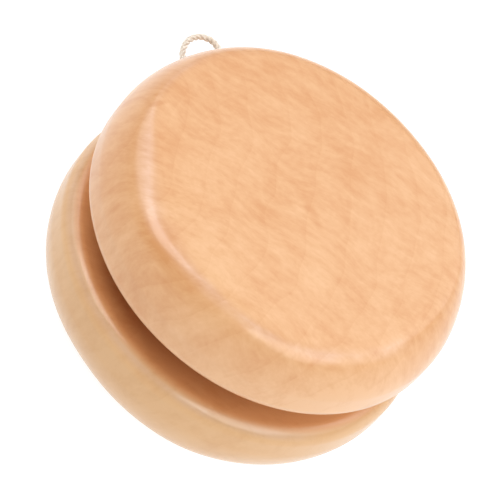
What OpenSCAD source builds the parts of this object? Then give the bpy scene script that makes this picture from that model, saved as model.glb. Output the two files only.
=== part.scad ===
// A plain turned wooden yo-yo with its cotton string wound on the axle.
// Units are millimetres. The spin axis is Z. The origin is the centre of the lower
// half's outer face, on which the yo-yo lies.

/* [Body] */
// Diameter of the two wooden halves
disc_d = 56; // [50:0.5:60]
// Width over the two outer faces
overall_w = 29.5; // [28:0.25:33]
// Diameter of the flat part of each outer face
face_d = 48.7; // [44:0.1:49.5]
// Distance of the rounded edge's lower end from the middle of the gap
belly_h = 7.4; // [6.5:0.1:8.5]
// Fullness of the rounded edge: 2 is an ellipse, less is flatter
edge_power = 1.63; // [1.4:0.01:2.4]

/* [String gap] */
// Width of the gap between the inner faces at the rim
gap_rim = 4.7; // [4.4:0.1:5.6]
// Width of the gap between the inner faces at the axle
gap_axle = 3.7; // [3.6:0.1:4.4]
// Radius of the rounded inner edge of each half
shoulder_r = 2.6; // [1.6:0.1:3.4]

/* [Axle] */
// Diameter of the wooden axle dowel
axle_d = 8; // [6:0.5:9]
// Depth that the dowel is glued into each half, from the inner face
axle_grip = 8; // [6:0.5:9]
// Space left for glue past each end of the dowel
glue_space = 0.6; // [0.3:0.1:1]

/* [String] */
// Thickness of the twisted cotton string
string_d = 1; // [0.8:0.05:1.05]
// Number of layers of string wound on the axle
layers = 7; // [4:1:7]
// Turns of string side by side in one layer
turns_abreast = 3; // [2:1:3]
// Distance between the middles of two turns side by side
turn_pitch = 1; // [0.9:0.05:1.05]
// Distance between the middles of two layers
layer_pitch = 0.94; // [0.8:0.02:1]
// Room between the axle and the innermost turns, so that the axle can spin
axle_play = 0.05; // [0.02:0.01:0.1]
// Thickness of the knot that ties the finger loop
knot_d = 2.9; // [2.4:0.1:3.2]
// Length of that knot
knot_l = 3.4; // [3:0.1:4]

/* [Hidden] */

$fn = 96;
edge_steps = 24;      // straight steps along the rounded edge
shoulder_steps = 12;  // steps along the rounded inner edge
cord_sides = 8;       // sides of the tubes that stand for the string
lap = 0.01;           // overlap that makes one outline of two drawn shapes

disc_r = disc_d / 2;
face_r = face_d / 2;
half_w = overall_w / 2;
axle_r = axle_d / 2;
axle_half_l = gap_axle / 2 + axle_grip;

winding_in_r = axle_r + axle_play;
winding_out_r = winding_in_r + string_d + (layers - 1) * layer_pitch;
winding_w = turns_abreast * turn_pitch;
winding_edge_r = string_d / 2;

// The route of the string from the winding to the knot, measured from the axis and
// from the middle of the gap: straight off the outermost turn, then out to the rim.
LEAD = [[2.1, 10.3, 1], [-0.1, 11.3, 1], [-2.4, 12.4, 0.9], [-4.6, 13.5, 0.7],
        [-6.9, 14.6, 0.5], [-9.2, 15.7, 0.3], [-11.4, 16.7, 0.1], [-13.6, 17.8, 0],
        [-15.3, 18.7, 0]];

// The route of the finger loop: out of the knot, round and back into the knot.
LOOP = [[-15.9, 18.3, -0.1], [-17.7, 18.1, -0.2], [-19.7, 17.9, -0.3],
        [-21.7, 17.9, -0.3], [-23.6, 18.2, -0.3], [-25.3, 19, -0.2],
        [-26.6, 20.1, -0.2], [-27.4, 21.5, -0.1], [-27.7, 23, 0], [-27.4, 24.4, 0.1],
        [-26.6, 25.6, 0.1], [-25.3, 26.2, 0.2], [-23.9, 26, 0.2], [-22.5, 25.1, 0.3],
        [-21.1, 23.8, 0.3], [-19.6, 22.3, 0.3], [-18.1, 20.9, 0.2], [-16.6, 19.8, 0.1]];

knot_at = [-15.3, 18.7, 0];
knot_turn = 152;      // direction of the knot's length, degrees from +X

// Half of the outline of one wooden half, as [radius, distance from the gap's middle]:
// inner face, rounded inner edge, rounded outer edge, outer face.
function half_outline() =
    let (slope = atan((gap_rim - gap_axle) / 2 / (disc_r - shoulder_r - axle_r)),
         centre = [disc_r - shoulder_r, gap_rim / 2 + shoulder_r])
    [[0, gap_axle / 2], [axle_r, gap_axle / 2],
     for (i = [0 : shoulder_steps])
        let (a = slope - 90 + (90 - slope) * i / shoulder_steps)
        centre + shoulder_r * [cos(a), sin(a)],
     for (i = [0 : edge_steps])
        let (a = 90 * i / edge_steps, power = 2 / edge_power)
        [face_r + (disc_r - face_r) * pow(cos(a), power),
         belly_h + (half_w - belly_h) * pow(sin(a), power)],
     [0, half_w]];

// One wooden half, standing on the gap's middle plane with its outer face up.
module turned_half() {
    difference() {
        rotate_extrude() polygon(half_outline());
        cylinder(h = axle_half_l + glue_space, r = axle_r);
    }
}

// A closed tube of radius r along a list of points that never runs straight up.
module tube(route, r) {
    last = len(route) - 1;
    function direction(i) =
        let (d = route[min(i + 1, last)] - route[max(i - 1, 0)]) d / norm(d);
    function ring(i) =
        let (along = direction(i), flat = cross(along, [0, 0, 1]),
             across = flat / norm(flat), up = cross(across, along))
        [for (k = [0 : cord_sides - 1])
            let (a = 360 * k / cord_sides)
            route[i] + r * (cos(a) * across + sin(a) * up)];
    polyhedron(
        points = [for (i = [0 : last]) each ring(i)],
        faces = [
            [for (k = [0 : cord_sides - 1]) k],
            for (i = [0 : last - 1], k = [0 : cord_sides - 1])
                let (next = (k + 1) % cord_sides, a = i * cord_sides, b = a + cord_sides)
                [a + k, b + k, b + next, a + next],
            [for (k = [cord_sides - 1 : -1 : 0]) last * cord_sides + k]
        ]);
}

module lower_half() {
    color("burlywood") translate([0, 0, half_w]) mirror([0, 0, 1]) turned_half();
}

module upper_half() {
    color("navajowhite") translate([0, 0, half_w]) turned_half();
}

module axle() {
    color("peru") translate([0, 0, half_w - axle_half_l])
        cylinder(h = 2 * axle_half_l, r = axle_r);
}

// All the turns on the axle as one ring, with its outer edges rounded like the string.
module string_winding() {
    color("linen") translate([0, 0, half_w]) rotate_extrude() {
        translate([winding_in_r, -winding_w / 2])
            square([winding_out_r - winding_in_r - winding_edge_r, winding_w]);
        for (side = [-1, 1])
            translate([winding_out_r - winding_edge_r,
                       side * (winding_w / 2 - winding_edge_r)])
                circle(r = winding_edge_r);
        translate([winding_out_r - winding_edge_r - lap,
                   -winding_w / 2 + winding_edge_r])
            square([winding_edge_r + lap, winding_w - 2 * winding_edge_r]);
    }
}

module string_lead() {
    color("cornsilk") translate([0, 0, half_w]) tube(LEAD, string_d / 2);
}

// The knot: a barrel with round ends, in line with the string.
module string_knot() {
    color("bisque") translate([0, 0, half_w] + knot_at) rotate([0, 90, knot_turn])
        translate([0, 0, -knot_l / 2]) rotate_extrude() {
            r = knot_d / 2;
            intersection() {
                square([r, knot_l]);
                union() {
                    for (h = [r, knot_l - r]) translate([0, h]) circle(r = r);
                    translate([0, r]) square([r, knot_l - 2 * r]);
                }
            }
        }
}

module finger_loop() {
    color("seashell") translate([0, 0, half_w]) tube(LOOP, string_d / 2);
}

lower_half();
upper_half();
axle();
string_winding();
string_lead();
string_knot();
finger_loop();
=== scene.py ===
"""A plain turned wooden yo-yo: two halves, an axle dowel and a cotton string.

It lies flat on its lower half, and everything is in metres in the CAD model's frame: the spin
axis is Z, and the origin is the centre of the lower outer face.
"""

import math

import bpy
import numpy as np
from mathutils import Matrix, Vector


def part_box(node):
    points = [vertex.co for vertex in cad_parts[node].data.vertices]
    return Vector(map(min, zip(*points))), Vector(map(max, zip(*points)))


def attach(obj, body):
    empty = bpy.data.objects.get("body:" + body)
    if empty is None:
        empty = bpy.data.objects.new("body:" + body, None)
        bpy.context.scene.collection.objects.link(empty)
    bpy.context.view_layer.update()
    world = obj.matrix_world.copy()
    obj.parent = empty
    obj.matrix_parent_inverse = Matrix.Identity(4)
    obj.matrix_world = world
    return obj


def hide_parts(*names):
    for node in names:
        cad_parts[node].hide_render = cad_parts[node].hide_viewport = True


MM = 0.001

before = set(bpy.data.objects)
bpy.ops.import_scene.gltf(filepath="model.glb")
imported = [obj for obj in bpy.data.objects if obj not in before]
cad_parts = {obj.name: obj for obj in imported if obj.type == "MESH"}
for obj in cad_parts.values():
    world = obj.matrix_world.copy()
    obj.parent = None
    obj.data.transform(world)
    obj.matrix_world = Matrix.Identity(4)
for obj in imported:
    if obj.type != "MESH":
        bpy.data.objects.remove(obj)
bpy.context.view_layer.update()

# ---------------------------------------------------------------- sizes from the frame

upper_low, upper_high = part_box("upper_half")
lower_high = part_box("lower_half")[1]
axle_low, axle_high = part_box("axle")

DISC_R = upper_high.x
MID_Z = (upper_low.z + lower_high.z) / 2
HALF_W = upper_high.z - MID_Z
GAP_AXLE = upper_low.z - MID_Z  # half of the gap, at the axle
AXLE_R = axle_high.x
AXLE_HALF_L = (axle_high.z - axle_low.z) / 2

# Shape values that no box gives, as in part.scad.
FACE_R = 24.35 * MM  # the flat part of each outer face
BELLY_H = 7.4 * MM  # where the rounded edge starts, from the middle of the gap
EDGE_POWER = 1.63
GAP_RIM = 2.35 * MM  # half of the gap, at the rim
SHOULDER_R = 2.6 * MM
GLUE_SPACE = 0.6 * MM

STRING_D = 1.0 * MM
TURNS_ABREAST = 3
TURN_PITCH = 1.0 * MM
LAYER_PITCH = 0.94 * MM
LAYERS = 7
AXLE_PLAY = 0.05 * MM
KNOT_AT = Vector((-15.3, 18.7, 0)) * MM
KNOT_TURN = math.radians(152)
KNOT_R = 1.45 * MM

# The route of the string from the winding to the knot, and of the finger loop, as in part.scad,
# in millimetres from the axis and from the middle of the gap.
LEAD = [(2.1, 10.3, 1), (-0.1, 11.3, 1), (-2.4, 12.4, 0.9), (-4.6, 13.5, 0.7),
        (-6.9, 14.6, 0.5), (-9.2, 15.7, 0.3), (-11.4, 16.7, 0.1), (-13.6, 17.8, 0),
        (-15.3, 18.7, 0)]
LOOP = [(-15.9, 18.3, -0.1), (-17.7, 18.1, -0.2), (-19.7, 17.9, -0.3), (-21.7, 17.9, -0.3),
        (-23.6, 18.2, -0.3), (-25.3, 19, -0.2), (-26.6, 20.1, -0.2), (-27.4, 21.5, -0.1),
        (-27.7, 23, 0), (-27.4, 24.4, 0.1), (-26.6, 25.6, 0.1), (-25.3, 26.2, 0.2),
        (-23.9, 26, 0.2), (-22.5, 25.1, 0.3), (-21.1, 23.8, 0.3), (-19.6, 22.3, 0.3),
        (-18.1, 20.9, 0.2), (-16.6, 19.8, 0.1)]


# ---------------------------------------------------------------- camera

CAMERA_ELEVATION = 0.7988  # radians above the floor
CAMERA_ROLL = 0.7214
CAMERA_DISTANCE = 19.82 * DISC_R
CAMERA_LENS = 286.2  # mm, on a 36 mm sensor
OFF_CENTRE = (-0.93 * MM, 0.72 * MM)  # how far right and up of the object it is aimed


def make_camera():
    """The camera: in front and above, rolled, as far off as a long lens needs."""
    back = Vector((0, -math.cos(CAMERA_ELEVATION), math.sin(CAMERA_ELEVATION)))
    level = Vector((1, 0, 0))
    upright = back.cross(level)
    right = math.cos(CAMERA_ROLL) * level + math.sin(CAMERA_ROLL) * upright
    up = math.cos(CAMERA_ROLL) * upright - math.sin(CAMERA_ROLL) * level
    aim = Vector((0, 0, MID_Z)) + OFF_CENTRE[0] * right + OFF_CENTRE[1] * up
    camera = bpy.data.objects.new("camera", bpy.data.cameras.new("camera"))
    camera.data.lens = CAMERA_LENS
    camera.data.sensor_width = 36
    camera.data.clip_start = 0.01
    camera.data.clip_end = 20
    camera.matrix_world = (Matrix.Translation(aim + CAMERA_DISTANCE * back)
                           @ Matrix((right, up, back)).transposed().to_4x4())
    bpy.context.collection.objects.link(camera)
    bpy.context.scene.camera = camera


# ---------------------------------------------------------------- mesh helpers


def mesh_object(name, points, faces, smooth=True):
    """A linked object with a mesh of these points and faces."""
    mesh = bpy.data.meshes.new(name)
    mesh.from_pydata([tuple(p) for p in points], [], faces)
    mesh.validate()
    mesh.update()
    if smooth:
        mesh.shade_smooth()
    else:
        mesh.shade_flat()
    piece = bpy.data.objects.new(name, mesh)
    bpy.context.collection.objects.link(piece)
    return piece


def grid_faces(rows, columns):
    """Quads between rows of points; each row is a ring that closes on itself."""
    faces = []
    for i in range(rows - 1):
        below, above = i * columns, (i + 1) * columns
        for k in range(columns):
            after = (k + 1) % columns
            faces.append((below + k, below + after, above + after, above + k))
    return faces


SUBSTEPS = 12  # straight steps in each span of a smooth line, before it is evenly spaced


def smooth_line(points, spacing):
    """A Catmull-Rom curve through the points, with points spacing apart along it."""
    p = np.array(points, float)
    p = np.vstack([2 * p[0] - p[1], p, 2 * p[-1] - p[-2]])
    t = np.linspace(0, 1, SUBSTEPS, endpoint=False)[:, None]
    parts = []
    for a, b, c, d in zip(p[:-3], p[1:-2], p[2:-1], p[3:]):
        parts.append(0.5 * (2 * b + (c - a) * t + (2 * a - 5 * b + 4 * c - d) * t**2
                            + (3 * b - a - 3 * c + d) * t**3))
    fine = np.vstack(parts + [p[-2:-1]])
    along = np.concatenate([[0], np.cumsum(np.linalg.norm(np.diff(fine, axis=0), axis=1))])
    at = np.linspace(0, along[-1], max(2, round(along[-1] / spacing) + 1))
    return np.stack([np.interp(at, along, fine[:, k]) for k in range(3)], axis=1)


def carried_frames(line):
    """Two directions across the line at each point that don't turn about it."""
    along = np.gradient(line, axis=0)
    along /= np.linalg.norm(along, axis=1)[:, None]
    side = np.zeros_like(line)
    side[0] = np.cross(along[0], (0, 0, 1))
    side[0] /= np.linalg.norm(side[0])
    for i in range(1, len(line)):
        s = side[i - 1] - along[i] * (side[i - 1] @ along[i])
        side[i] = s / np.linalg.norm(s)
    return side, np.cross(along, side)


PLIES = 3
POINTS_PER_PLY = 6
PLY_R = 0.27  # radius of one ply, as a share of the string's diameter
PLY_OFF = 0.23  # how far its middle is from the string's middle
TWIST_LENGTH = 2.6 * MM  # length in which the plies go round once


def twisted_string(name, line, diameter, taper=None):
    """A string of three plies twisted round each other along a line, as one closed tube."""
    side, up = carried_frames(line)
    along = np.concatenate([[0], np.cumsum(np.linalg.norm(np.diff(line, axis=0), axis=1))])
    turn = 2 * np.pi * along / TWIST_LENGTH
    count = PLIES * POINTS_PER_PLY
    angle = 2 * np.pi * np.arange(count) / count
    to_ply = (np.arange(count) % POINTS_PER_PLY / POINTS_PER_PLY - 0.5) * 2 * np.pi / PLIES
    reach = diameter * (PLY_OFF * np.cos(to_ply)
                        + np.sqrt(PLY_R**2 - (PLY_OFF * np.sin(to_ply)) ** 2))
    size = np.ones(len(line)) if taper is None else taper
    a = angle[None, :] + turn[:, None]
    rings = (line[:, None, :]
             + (size[:, None] * reach * np.cos(a))[..., None] * side[:, None, :]
             + (size[:, None] * reach * np.sin(a))[..., None] * up[:, None, :])
    faces = grid_faces(len(line), count)
    faces.append(tuple(range(count - 1, -1, -1)))
    faces.append(tuple(range((len(line) - 1) * count, len(line) * count)))
    return mesh_object(name, rings.reshape(-1, 3), faces)


# ---------------------------------------------------------------- string

POINTS_PER_TURN = 60
STEP_PART = 0.18  # the part of each turn in which the string steps over to its next place
WINDING_START = math.radians(64.5)  # where the outermost turn leaves the winding
STRING_SPACING = 0.24 * MM


def eased(x):
    """x from 0 to 1, slow at both ends, and level outside."""
    x = min(max(x, 0), 1)
    return x * x * (3 - 2 * x)


def winding_points():
    """The string's middle line on the axle, from the axle outwards."""
    places = []
    for layer in range(LAYERS):
        for abreast in range(TURNS_ABREAST):
            across = abreast - (TURNS_ABREAST - 1) / 2
            places.append((AXLE_R + AXLE_PLAY + STRING_D / 2 + layer * LAYER_PITCH,
                           (across if layer % 2 == 0 else -across) * TURN_PITCH))
    points = []
    for turn, (radius, height) in enumerate(places):
        next_radius, next_height = places[min(turn + 1, len(places) - 1)]
        for i in range(POINTS_PER_TURN):
            part = i / POINTS_PER_TURN
            step = eased((part - 1 + STEP_PART) / STEP_PART)
            r = radius + (next_radius - radius) * step
            angle = WINDING_START + 2 * math.pi * part
            points.append((r * math.cos(angle), r * math.sin(angle),
                           MID_Z + height + (next_height - height) * step))
    return points


def make_string():
    """The whole string, and the knot that ties its finger loop, declared as one cord."""
    free = [(x * MM, y * MM, MID_Z + z * MM) for x, y, z in LEAD + LOOP]
    line = smooth_line(winding_points() + free, STRING_SPACING)
    string = twisted_string("cotton_string", line, STRING_D)
    knot = make_knot()
    for piece in (string, knot):
        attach(piece, "string")
    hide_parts("string_winding", "string_lead", "finger_loop")
    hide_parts("string_knot")
    length = float(np.linalg.norm(np.diff(line, axis=0), axis=1).sum())
    print(f"string: {length:.3f} m, {len(line)} rings")
    return string, knot


KNOT_WRAPS = 2.3
KNOT_WRAP_PITCH = 0.92 * MM
POINTS_PER_WRAP = 14
KNOT_START = (-1.5 * MM, 0.2 * MM)  # where the wraps begin, along and across the legs
KNOT_TAIL = [(-0.2, 0.55, -0.4), (0.1, 1.4, -0.7), (0.7, 2.3, -0.7)]  # mm from the last wrap
CUT_END = (1.04, 1.12, 1.2)  # the string's size at its last rings: a cut end spreads a little
KNOT_STRING = 0.94  # the string is pulled this much thinner in the knot


def make_knot():
    """Wraps of the string round its own two legs, with the tied-off end sticking out."""
    centre = KNOT_AT + Vector((0, 0, MID_Z))
    along = Vector((math.cos(KNOT_TURN), math.sin(KNOT_TURN), 0))
    across = Vector((-along.y, along.x, 0))
    up = Vector((0, 0, 1))
    wrap_r = KNOT_R - STRING_D / 2
    points = []
    steps = round(KNOT_WRAPS * POINTS_PER_WRAP)
    for i in range(steps + 1):
        turned = 2 * math.pi * KNOT_WRAPS * i / steps
        place = (i / steps - 0.5) * KNOT_WRAPS * KNOT_WRAP_PITCH
        points.append(centre + place * along
                      + wrap_r * (math.cos(turned) * across + math.sin(turned) * up))
    first = centre + KNOT_START[0] * along + KNOT_START[1] * across
    tail = [points[-1] + Vector(step) * MM for step in KNOT_TAIL]
    line = smooth_line([first] + points + tail, STRING_SPACING)
    taper = np.ones(len(line))
    taper[-len(CUT_END):] = CUT_END
    return twisted_string("loop_knot", line, STRING_D * KNOT_STRING, taper)


# ---------------------------------------------------------------- turned halves

AROUND = 360  # segments round each half
FACE_RINGS = 24  # rings on the flat face, closer together towards its edge
EDGE_SOFT = 1.1 * MM  # how softly the rounded edge runs into the flat face
EDGE_STEPS = 40
SHOULDER_STEPS = 20
INNER_RINGS = 16
BORE_R = AXLE_R + 0.02 * MM  # the dowel is a push fit
BORE_DEPTH = AXLE_HALF_L + GLUE_SPACE

# Where the sanded edge of each outer face was worn flatter or left fuller:
# (azimuth in degrees, its spread in degrees, change of the flat face's radius in mm).
UPPER_SANDED = [(239, 9, 1.9), (213, 15, -1.5), (266, 13, -0.7), (303, 14, 0.6), (352, 24, -1.8),
                (80, 20, -0.3), (135, 18, 0.2)]
UPPER_SOFTENED = [(236, 18, 2.4), (308, 18, 1.2)]  # the same for EDGE_SOFT
LOWER_SANDED = [(250, 16, -0.6), (292, 14, 0.4), (205, 18, 0.35), (340, 16, -0.4),
                (60, 22, 0.4), (120, 18, -0.45)]


def sanded(spots, azimuth):
    """The sum of the spots' changes at each azimuth (degrees), in metres."""
    total = np.zeros_like(azimuth)
    for at, spread, change in spots:
        away = (azimuth - at + 180) % 360 - 180
        total += change * MM * np.exp(-((away / spread) ** 2))
    return total


def edge_height(r, face_r, softness):
    """Height over the gap's middle at radius r of the rounded outer edge, sanded soft where it
    meets the flat face."""
    x = (r - face_r) / (DISC_R - face_r)
    soft = softness / (DISC_R - face_r)
    x = (x + np.sqrt(x**2 + soft**2)) / (1 + np.sqrt(1 + soft**2))
    drop = 1 - np.maximum(1 - x**EDGE_POWER, 0) ** (1 / EDGE_POWER)
    return HALF_W - (HALF_W - BELLY_H) * drop


def half_rings(spots, softened):
    """Rings of (radius, distance from the gap's middle) at each azimuth, from the middle of the
    outer face round the edge and the inner face to the bottom of the axle's hole."""
    azimuth = np.arange(AROUND) * 360 / AROUND
    face_r = FACE_R + sanded(spots, azimuth)
    softness = EDGE_SOFT + sanded(softened, azimuth)
    ones = np.ones(AROUND)
    rings = []
    for i in range(1, FACE_RINGS):
        part = 1 - (1 - i / FACE_RINGS) ** 2
        rings.append((face_r * part, edge_height(face_r * part, face_r, softness)))
    for i in range(EDGE_STEPS + 1):
        across = math.sin(math.pi / 2 * i / EDGE_STEPS) ** (2 / EDGE_POWER)
        r = face_r + (DISC_R - face_r) * across
        rings.append((r, edge_height(r, face_r, softness)))
    slope = math.atan((GAP_RIM - GAP_AXLE) / (DISC_R - SHOULDER_R - AXLE_R))
    centre_r, centre_h = DISC_R - SHOULDER_R, GAP_RIM + SHOULDER_R
    for i in range(SHOULDER_STEPS + 1):
        a = (slope - math.pi / 2) * i / SHOULDER_STEPS
        rings.append(((centre_r + SHOULDER_R * math.cos(a)) * ones,
                      (centre_h + SHOULDER_R * math.sin(a)) * ones))
    last_r, last_h = rings[-1][0][0], rings[-1][1][0]
    for i in range(1, INNER_RINGS + 1):
        part = i / INNER_RINGS
        rings.append(((last_r + (BORE_R - last_r) * part) * ones,
                      (last_h + (GAP_AXLE - last_h) * part) * ones))
    rings.append((BORE_R * ones, BORE_DEPTH * ones))
    return rings


def make_half(name, spots, softened, side):
    """One turned half as a closed mesh. side is 1 for the upper half and -1 for the lower."""
    rings = half_rings(spots, softened)
    angle = 2 * np.pi * np.arange(AROUND) / AROUND
    points = [np.array([[0, 0, MID_Z + side * HALF_W]])]
    for r, h in rings:
        points.append(np.stack([r * np.cos(angle), r * np.sin(angle), MID_Z + side * h], axis=1))
    points.append(np.array([[0, 0, MID_Z + side * BORE_DEPTH]]))
    points = np.vstack(points)
    last = len(points) - 1
    faces = [tuple(1 + v for v in f) for f in grid_faces(len(rings), AROUND)]
    for k in range(AROUND):
        after = (k + 1) % AROUND
        faces.append((0, 1 + after, 1 + k))
        faces.append((last, last - AROUND + k, last - AROUND + after))
    if side > 0:
        faces = [f[::-1] for f in faces]
    half = mesh_object(name, points, faces)
    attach(half, "spool")
    return half


# ---------------------------------------------------------------- axle

AXLE_CHAMFER = 0.5 * MM
AXLE_AROUND = 64
AXLE_RINGS = 6  # rings on each half of the dowel's length


def make_axle():
    """The dowel, with chamfered ends."""
    outline = [(AXLE_R - AXLE_CHAMFER, -AXLE_HALF_L), (AXLE_R, -AXLE_HALF_L + AXLE_CHAMFER)]
    outline += [(AXLE_R, AXLE_HALF_L * i / AXLE_RINGS) for i in range(1 - AXLE_RINGS, AXLE_RINGS)]
    outline += [(AXLE_R, AXLE_HALF_L - AXLE_CHAMFER), (AXLE_R - AXLE_CHAMFER, AXLE_HALF_L)]
    points = [(r * math.cos(a), r * math.sin(a), MID_Z + h)
              for r, h in outline
              for a in (2 * math.pi * k / AXLE_AROUND for k in range(AXLE_AROUND))]
    faces = grid_faces(len(outline), AXLE_AROUND)
    faces.append(tuple(range(AXLE_AROUND - 1, -1, -1)))
    faces.append(tuple(range(len(points) - AXLE_AROUND, len(points))))
    axle = mesh_object("axle_dowel", points, faces)
    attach(axle, "spool")
    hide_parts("axle")
    return axle


# ---------------------------------------------------------------- materials


class Shader:
    """A material's nodes. add() makes a node; a value that is a socket is linked."""

    def __init__(self, name):
        self.material = bpy.data.materials.new(name)
        self.material.use_nodes = True
        self.tree = self.material.node_tree
        self.surface = self.tree.nodes["Principled BSDF"]

    def set(self, node, inputs):
        """Set a node's inputs to values, or link sockets to them."""
        for key, value in inputs.items():
            if isinstance(value, bpy.types.NodeSocket):
                self.tree.links.new(value, node.inputs[key])
            else:
                node.inputs[key].default_value = value

    def add(self, kind, inputs=None, **settings):
        node = self.tree.nodes.new("ShaderNode" + kind)
        for key, value in settings.items():
            setattr(node, key, value)
        self.set(node, inputs or {})
        return node

    def math(self, operation, a, b=0.0, c=0.0):
        return self.add("Math", {0: a, 1: b, 2: c}, operation=operation).outputs[0]

    def noise(self, vector, scale, detail=2.0, roughness=0.5, distortion=0.0):
        inputs = {"Vector": vector, "Scale": scale, "Detail": detail, "Roughness": roughness,
                  "Distortion": distortion}
        return self.add("TexNoise", inputs).outputs["Fac"]

    def scaled(self, vector, scale, location=(0, 0, 0), turn=(0, 0, 0)):
        """The vector after a point mapping: scaled, turned, then moved."""
        inputs = {"Vector": vector, "Scale": scale, "Location": location, "Rotation": turn}
        return self.add("Mapping", inputs).outputs[0]

    def ramp(self, value, stops):
        """A colour ramp through (place, colour) stops."""
        node = self.add("ValToRGB", {"Fac": value})
        while len(node.color_ramp.elements) < len(stops):
            node.color_ramp.elements.new(0.5)
        for element, (place, colour) in zip(node.color_ramp.elements, stops):
            element.position = place
            element.color = (*colour, 1)
        return node.outputs["Color"]

    def mixed(self, share, a, b, blend="MIX"):
        """Colour a with a share of colour b mixed or multiplied in."""
        node = self.add("Mix", data_type="RGBA", blend_type=blend)
        for place, value in ((0, share), (6, a), (7, b)):
            if isinstance(value, bpy.types.NodeSocket):
                self.tree.links.new(value, node.inputs[place])
            else:
                node.inputs[place].default_value = (*value, 1) if place else value
        return node.outputs[2]

    def spot(self, vector, at, turn, size):
        """1 at the middle of a soft ellipsoid, and 0 outside it. turn is about Z."""
        away = Matrix.Rotation(-turn, 3, "Z") @ Vector(at)
        moved = self.scaled(vector, (1, 1, 1), location=-away, turn=(0, 0, -turn))
        shrunk = self.scaled(moved, tuple(1 / length for length in size))
        reach = self.add("VectorMath", {0: shrunk}, operation="LENGTH").outputs["Value"]
        inputs = {"Value": reach, "From Min": 1.0, "From Max": 0.1}
        return self.add("MapRange", inputs, interpolation_type="SMOOTHSTEP").outputs[0]

    def stretched(self, value, low, high):
        """value from low to high as 0 to 1, clamped."""
        inputs = {"Value": value, "From Min": low, "From Max": high}
        return self.add("MapRange", inputs, clamp=True).outputs[0]


FIBRE_LEAN = math.radians(24)  # how far the fibres lean from the spin axis
RAY_TURN = math.radians(12)  # the azimuth that the rays point along
# Soft darker and paler patches on the upper half: place (mm), turn about Z, half lengths (mm) and
# strength, above zero where it is darker and below zero where it is paler.
UPPER_MARKS = [((1.8, -1.3, 29), math.radians(-31), (4.0, 1.3, 4.0), 0.40),
               ((-23.6, -4.6, 29), math.radians(60), (2.6, 0.6, 3.0), 0.50),
               ((-24.6, -3.2, 28), math.radians(60), (2.2, 0.5, 3.0), 0.35),
               ((-10.5, -23.2, 28.4), math.radians(-25), (8.0, 3.4, 3.0), 0.60),
               ((0.5, -26.6, 24), math.radians(20), (5.0, 3.0, 2.6), 0.35),
               ((-9.0, -26.5, 23), math.radians(-18), (10.0, 4.0, 7.0), 0.40),
               ((22.0, -17.0, 22), math.radians(52), (20.0, 6.0, 9.0), -0.40)]
PALER_SIDE = (0.0056, -0.0048, 0)  # across the log towards its paler wood, per mm
EDGE_HIGHLIGHT_TINT = (1.01, 1.10, 1.42)  # painted highlight: whitish tint on the rounded edges where they face the softboxes
EDGE_HIGHLIGHT_SIDE = (-0.0042, -0.0091, 0)  # towards the side where the painted edge highlight is strongest, per mm
PITH = (70, 12, 0)  # how far the middle of the growth rings is from the disc, in mm
RING_WIDTH = 4.6  # mm


WANDER = 9  # how far the grain is bent from side to side, in mm


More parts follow.
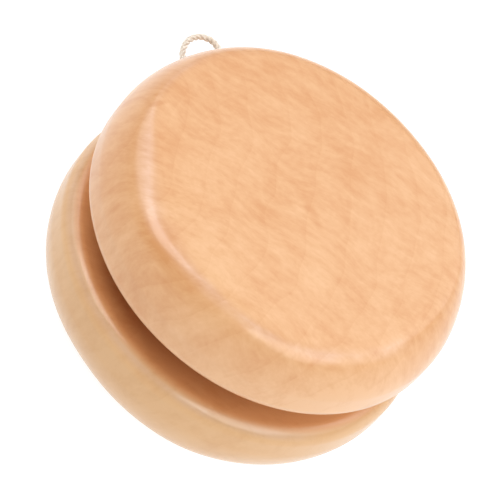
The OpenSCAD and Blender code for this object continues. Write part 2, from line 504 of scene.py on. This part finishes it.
def wood(name, seed, pale, dark, gap_shade=(1, 1, 1), wall=(1, 1, 1), outside=1, marks=()):
    """Pale close-grained hardwood with end grain on the faces: rays across the face, fibres
    nearly along the spin axis, faint growth rings, under a satin varnish. seed moves the
    pattern (mm), inside and wall tint the inner face and the side, with the inside tint as
    painted shade down in the gap, and outside is 1 where the outer face looks up and -1 where
    it looks down. The rounded edges get a painted highlight where they face the softboxes."""
    w = Shader(name)
    place = w.add("TexCoord").outputs["Object"]
    in_mm = w.scaled(place, (1000, 1000, 1000), seed)
    turned = w.scaled(in_mm, (1, 1, 1), turn=(0, 0, -RAY_TURN))
    grain = w.scaled(turned, (1, 1, 1), turn=(0, -FIBRE_LEAN, 0))
    # The grain wanders, so every stretched pattern below is bent by the same slow noise.
    wander = w.add("TexNoise", {"Vector": grain, "Scale": 0.045, "Detail": 2.0})
    centred = w.add("VectorMath", {0: wander.outputs["Color"], 1: (0.5, 0.5, 0.5)},
                    operation="SUBTRACT").outputs[0]
    shift = w.add("VectorMath", {0: centred, 1: (WANDER, WANDER, WANDER)},
                  operation="MULTIPLY").outputs[0]
    bent = w.add("VectorMath", {0: grain, 1: shift}, operation="ADD").outputs[0]

    rays = w.noise(w.scaled(bent, (0.30, 0.95, 0.35)), 1.0, 2.0, 0.5)
    fine_rays = w.noise(w.scaled(bent, (1.5, 3.6, 1.5)), 1.0, 2.0, 0.6)
    fibres = w.noise(w.scaled(bent, (0.9, 1.0, 0.06)), 1.0, 3.0, 0.5)
    bars = w.noise(w.scaled(bent, (0.17, 0.28, 0.1)), 1.0, 2.0, 0.5)
    blotches = w.noise(in_mm, 0.06, 2.0, 0.5)

    # Faint marks of the turning chisel, round the spin axis.
    across = w.scaled(in_mm, (1, 1, 0))
    radius = w.add("VectorMath", {0: across}, operation="LENGTH").outputs["Value"]
    turning = w.noise(w.add("CombineXYZ", {"X": radius}).outputs[0], 0.8, 2.0, 0.6)

    # Growth rings round a pith well outside the disc.
    to_pith = w.scaled(bent, (1, 1, 0.04), location=PITH)
    ring_r = w.add("VectorMath", {0: to_pith}, operation="LENGTH").outputs["Value"]
    late = w.math("POWER", w.math("FRACT", w.math("MULTIPLY", ring_r, 1 / RING_WIDTH)), 5.0)

    # How pale the wood is, from 0 to 1.
    figure = 0.5
    for pattern, strength in ((rays, 1.00), (fine_rays, 0.60), (fibres, 0.55), (bars, 0.9),
                              (blotches, 0.9), (turning, 0.35)):
        off = w.math("SUBTRACT", pattern, 0.5)
        figure = w.math("MULTIPLY_ADD", off, strength, figure)
    figure = w.math("MULTIPLY_ADD", late, -0.16, figure)
    across_log = w.add("VectorMath", {0: in_mm, 1: PALER_SIDE}, operation="DOT_PRODUCT")
    figure = w.math("ADD", figure, across_log.outputs["Value"])
    for at, turn, size, strength in marks:
        figure = w.math("MULTIPLY_ADD", w.spot(in_mm, at, turn, size), -strength, figure)
    colour = w.ramp(figure, [(0.0, dark), (1.0, pale)])
    facing = w.add("SeparateXYZ", {"Vector": w.add("TexCoord").outputs["Normal"]}).outputs["Z"]
    outwards = w.math("MULTIPLY_ADD", facing, 0.5 * outside, 0.5)
    # Painted shade: the inner face and its shoulder, down in the gap, are tinted darker; the side
    # gets its wall tint.
    tint = w.ramp(outwards, [(0.01, gap_shade), (0.11, wall), (0.85, wall), (0.99, (1, 1, 1))])
    colour = w.mixed(1.0, colour, tint, "MULTIPLY")

    # Painted highlight: the rounded edges are tinted whitish at the angles where they face the
    # softboxes, mostly on one side.
    edge_highlight_band = w.ramp(outwards, [(0.05, (0, 0, 0)), (0.13, (1, 1, 1)), (0.18, (1, 1, 1)),
                              (0.30, (0, 0, 0)), (0.84, (0, 0, 0)), (0.95, (1, 1, 1)),
                              (0.998, (0, 0, 0))])
    side = w.add("VectorMath", {0: in_mm, 1: EDGE_HIGHLIGHT_SIDE}, operation="DOT_PRODUCT")
    highlight_patch = w.math("ADD", w.noise(in_mm, 0.13, 2.0, 0.5), side.outputs["Value"])
    painted_highlight = w.math("MULTIPLY", w.stretched(highlight_patch, 0.40, 0.75), edge_highlight_band)
    colour = w.mixed(painted_highlight, colour, w.mixed(1.0, colour, EDGE_HIGHLIGHT_TINT, "MULTIPLY"))

    rough = w.add("MapRange", {"Value": fine_rays, "To Min": 0.38, "To Max": 0.52}).outputs[0]
    height = w.math("MULTIPLY_ADD", fine_rays, 0.6, w.math("MULTIPLY", fibres, 0.4))
    bump = w.add("Bump", {"Height": height, "Strength": 0.15, "Distance": 0.0001}).outputs[0]
    w.set(w.surface, {"Base Color": colour, "Roughness": rough, "Normal": bump,
                      "Coat Weight": 0.75, "Coat Roughness": 0.17, "Coat IOR": 1.42,
                      "Specular IOR Level": 0.4, "Coat Normal": bump})
    return w.material


def cotton():
    """Undyed cotton: matt, slightly fuzzy, with fibres and darker specks."""
    c = Shader("cotton")
    in_mm = c.scaled(c.add("TexCoord").outputs["Object"], (1000, 1000, 1000))
    fibres = c.noise(in_mm, 6.0, 4.0, 0.7, 0.6)
    soiled = c.noise(in_mm, 0.6, 3.0, 0.6)
    colour = c.ramp(c.math("MULTIPLY_ADD", soiled, 0.6, c.math("MULTIPLY", fibres, 0.4)),
                    [(0.28, (0.72, 0.60, 0.47)), (0.45, (0.90, 0.80, 0.68)),
                     (0.7, (0.97, 0.90, 0.80))])
    bump = c.add("Bump", {"Height": fibres, "Strength": 0.5, "Distance": 0.00006})
    c.set(c.surface, {"Base Color": colour, "Roughness": 0.9, "Normal": bump.outputs[0],
                      "Sheen Weight": 0.4, "Sheen Roughness": 0.5, "Specular IOR Level": 0.2})
    return c.material


FLOOR = 0.42  # half of the floor's width, in metres: the backdrop runs on past its edge
FLOOR_GLOW = 0.90  # the floor is a light table: it shines, so that shadows stay pale


def white_floor():
    """Matt white that shines by itself, with a faint grain."""
    f = Shader("white_floor")
    grain = f.noise(f.add("TexCoord").outputs["Object"], 300.0, 2.0)
    colour = f.ramp(grain, [(0.3, (0.24, 0.24, 0.24)), (0.7, (0.26, 0.26, 0.26))])
    f.set(f.surface, {"Base Color": colour, "Roughness": 0.9, "Specular IOR Level": 0.1,
                      "Emission Color": (1, 1, 1, 1), "Emission Strength": FLOOR_GLOW})
    return f.material


def give(piece, material):
    """Make this the piece's only material."""
    piece.data.materials.clear()
    piece.data.materials.append(material)


# ---------------------------------------------------------------- floor and lights


def make_floor():
    """A square floor under the yo-yo, which isn't part of the object."""
    floor = mesh_object("floor", [(-FLOOR, -FLOOR, 0), (FLOOR, -FLOOR, 0), (FLOOR, FLOOR, 0),
                                  (-FLOOR, FLOOR, 0)], [(0, 1, 2, 3)], smooth=False)
    give(floor, white_floor())


def soft_light(name, azimuth, elevation, distance, size, power):
    """A round softbox aimed at the middle of the yo-yo. Azimuth 0 is along -Y."""
    light = bpy.data.lights.new(name, "AREA")
    light.shape = "DISK"
    light.size = size
    light.energy = power
    lamp = bpy.data.objects.new(name, light)
    a, e = math.radians(azimuth), math.radians(elevation)
    back = Vector((math.sin(a) * math.cos(e), -math.cos(a) * math.cos(e), math.sin(e)))
    lamp.location = Vector((0, 0, MID_Z)) + distance * back
    lamp.rotation_euler = back.to_track_quat("Z", "Y").to_euler()
    bpy.context.collection.objects.link(lamp)


BACKDROP = 1.0  # strength of the white backdrop round the floor
CEILING = 0.03  # strength of the room above it
BACKDROP_TOP, CEILING_FROM = 0.06, 0.30  # height of the view direction where each one ends

SOFTBOX_DISTANCE = 0.9  # metres
# Name, azimuth and elevation (degrees), width (m) and power (W) of each softbox.
SOFTBOXES = [
    ("key_left", -70, 60, 0.50, 3.0),
    ("left", -105, 44, 0.70, 2.8),
    ("front_right", 28, 43, 0.25, 0.55),
    ("right", 58, 44, 0.65, 3.65),
    ("right_behind", 105, 43, 0.75, 2.25),
    ("behind_right", 150, 40, 0.75, 2.1),
    ("behind_left", -150, 40, 0.75, 1.4),
]


def make_lights():
    """Softboxes all round, and a white backdrop under a dark ceiling."""
    world = bpy.data.worlds.new("room")
    bpy.context.scene.world = world
    world.use_nodes = True
    nodes, links = world.node_tree.nodes, world.node_tree.links
    direction = nodes.new("ShaderNodeTexCoord")
    height = nodes.new("ShaderNodeSeparateXYZ")
    strength = nodes.new("ShaderNodeMapRange")
    strength.interpolation_type = "SMOOTHSTEP"
    for key, value in (("From Min", BACKDROP_TOP), ("From Max", CEILING_FROM),
                       ("To Min", BACKDROP), ("To Max", CEILING)):
        strength.inputs[key].default_value = value
    links.new(direction.outputs["Generated"], height.inputs["Vector"])
    links.new(height.outputs["Z"], strength.inputs["Value"])
    links.new(strength.outputs["Result"], nodes["Background"].inputs["Strength"])
    nodes["Background"].inputs["Color"].default_value = (1, 1, 1, 1)
    for name, azimuth, elevation, width, power in SOFTBOXES:
        soft_light(name, azimuth, elevation, SOFTBOX_DISTANCE, width, power)


# ---------------------------------------------------------------- the scene

# Paler and darker colour of each wood, and the offset (mm) that gives it its own pattern.
UPPER_WOOD = {"seed": (0, 0, 0), "pale": (0.755, 0.443, 0.232), "dark": (0.640, 0.306, 0.126)}
LOWER_WOOD = {"seed": (37, -21, 55), "pale": (0.700, 0.424, 0.208), "dark": (0.612, 0.326, 0.132)}
AXLE_WOOD = {"seed": (11, 80, -9), "pale": (0.74, 0.45, 0.24), "dark": (0.60, 0.31, 0.14)}

bpy.context.scene.view_settings.view_transform = "Standard"
make_camera()
string, knot = make_string()
upper = make_half("turned_upper_half", UPPER_SANDED, UPPER_SOFTENED, 1)
lower = make_half("turned_lower_half", LOWER_SANDED, [], -1)
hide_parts("upper_half")
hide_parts("lower_half")
axle = make_axle()

# The darker inner-face tints are painted shade in the gap between the halves.
give(upper, wood("turned_wood_upper", **UPPER_WOOD, gap_shade=(0.80, 0.62, 0.50),
                 wall=(1.03, 1.01, 0.97), marks=UPPER_MARKS))
give(lower, wood("turned_wood_lower", **LOWER_WOOD, gap_shade=(0.98, 0.75, 0.60),
                 wall=(0.99, 0.96, 0.90), outside=-1))
give(axle, wood("dowel_wood", **AXLE_WOOD))
cotton_material = cotton()
give(string, cotton_material)
give(knot, cotton_material)
make_floor()
make_lights()
